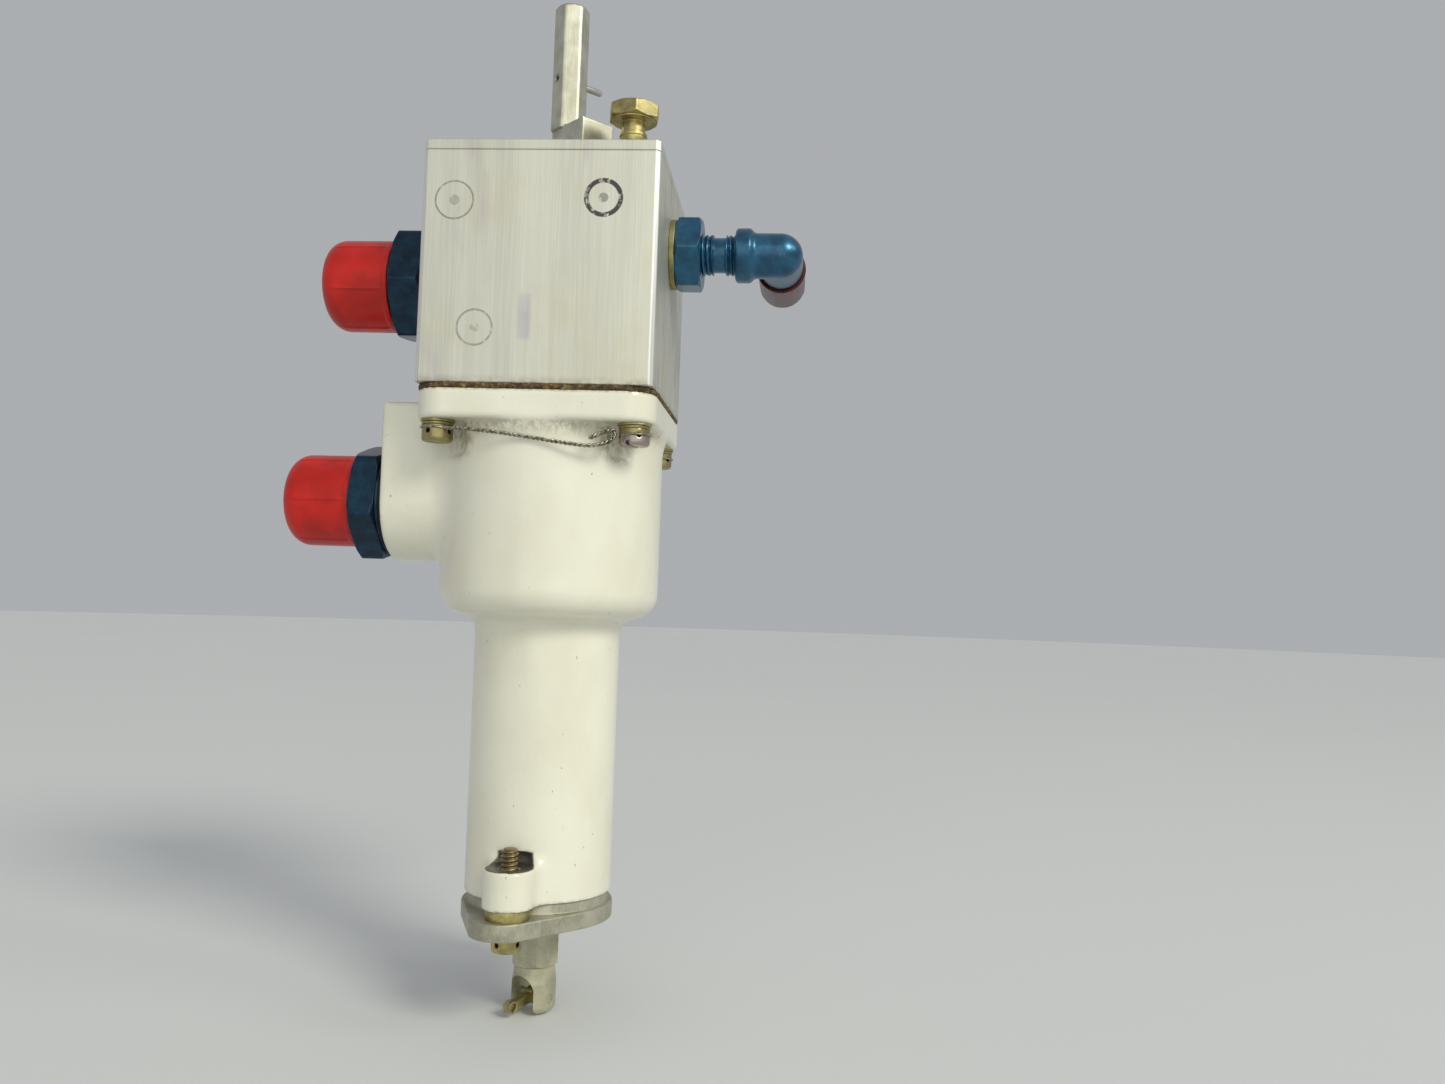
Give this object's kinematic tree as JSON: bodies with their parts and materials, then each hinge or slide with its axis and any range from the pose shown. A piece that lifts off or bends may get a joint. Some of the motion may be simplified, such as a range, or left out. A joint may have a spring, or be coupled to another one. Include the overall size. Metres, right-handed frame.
{
  "type": "flow control valve",
  "caption": "Aircraft-style fluid flow control valve: square metering block with a turning hexagonal post, cast lower housing with spring piston and forked rod, capped unions and elbow.",
  "frame": {"origin": "centre of the four mounting holes on the valve block's flat back face", "axes": "+Z along the main axis, up towards the hexagonal post; +Y out of the block's back face; +X towards the elbow"},
  "size_m": [0.1241, 0.0559, 0.2445],
  "materials": {
    "bare_aluminium": "linished, upright grain, light handling stains",
    "cover_aluminium": "linished",
    "plate_aluminium": "turned and milled, warm grey",
    "cast_paint": "gloss cream-white enamel over a casting",
    "joint_gasket": "brown mottled joint sheet",
    "gold_plating": "cadmium plated, gold passivated",
    "plain_steel": "ground",
    "dark_steel": "oil-blacked",
    "post_steel": "smooth, slightly warm",
    "rod_steel": "turned, slightly tarnished",
    "wire_steel": "bright stainless wire",
    "blue_union": "dark blue anodised",
    "blue_elbow": "blue-green anodised",
    "red_cap": "moulded, satin",
    "dark_cap": "moulded, satin",
    "seal_ring": "yellowish seal washer",
    "bronze": "bored bearing bronze",
    "black_rubber": "moulded"
  },
  "bodies": {
    "valve_body": {"valve_block": "bare_aluminium", "cover_plate": "cover_aluminium", "cover_screws": "plain_steel", "cover_seal": "black_rubber", "gland_bushing": "bronze", "shaft_seal": "black_rubber", "metering_sleeve": "plain_steel", "sleeve_seals": "black_rubber", "sleeve_retaining_ring": "dark_steel", "flange_gasket": "joint_gasket", "lower_housing": "cast_paint", "flange_screws": "gold_plating", "flange_washers": "gold_plating", "lock_wire_front": "wire_steel", "lock_wire_rear": "wire_steel", "upper_union": "blue_union", "upper_union_seal": "black_rubber", "lower_union": "blue_union", "lower_union_seal": "black_rubber", "elbow_fitting": "blue_elbow", "elbow_jam_nut": "blue_elbow", "elbow_washer": "seal_ring", "spool_retaining_ring": "dark_steel", "thrust_washer": "bronze", "stop_bolt": "gold_plating", "stop_bolt_sleeve": "gold_plating", "piston_spring": "dark_steel", "spring_seat": "plain_steel", "rod_bushing": "bronze", "rod_seal": "black_rubber", "end_plate": "plate_aluminium", "end_plate_seal": "black_rubber", "end_plate_screws": "gold_plating", "lug_spacers": "gold_plating"},
    "control_post": {"control_post": "post_steel", "post_spring_pin": "wire_steel", "metering_spool": "plain_steel"},
    "piston_rod": {"piston": "plain_steel", "piston_seals": "black_rubber", "piston_nut": "plain_steel", "piston_rod": "rod_steel", "fork_cross_pin": "rod_steel"},
    "fork_link": {"fork_link": "gold_plating"},
    "upper_cap": {"upper_cap": "red_cap"},
    "lower_cap": {"lower_cap": "red_cap"},
    "elbow_cap": {"elbow_cap": "dark_cap"}
  },
  "joints": [
    {"name": "post_turn", "type": "hinge", "parent": "valve_body", "child": "control_post", "pos_m": [0, -0.027, 0.0335], "axis": [0, 0, 1], "range_deg": [-85, 2]},
    {"name": "piston_slide", "type": "slide", "parent": "valve_body", "child": "piston_rod", "axis": [0, 0, -1], "range_m": [0, 0.0095], "stiffness_N_per_m": 1500, "springref_m": -0.008, "deforming": ["piston_spring"]},
    {"name": "link_swing", "type": "hinge", "parent": "piston_rod", "child": "fork_link", "pos_m": [0, -0.027, -0.1685], "axis": [0.8572, -0.515, 0], "range_deg": [-16, 162]},
    {"name": "upper_cap_pull", "type": "slide", "parent": "valve_body", "child": "upper_cap", "axis": [-1, 0, 0], "range_m": [0, 0.02]},
    {"name": "lower_cap_pull", "type": "slide", "parent": "valve_body", "child": "lower_cap", "axis": [-1, 0, 0], "range_m": [0, 0.02]},
    {"name": "elbow_cap_pull", "type": "slide", "parent": "valve_body", "child": "elbow_cap", "axis": [0, 1, 0], "range_m": [0, 0.018]}
  ]
}
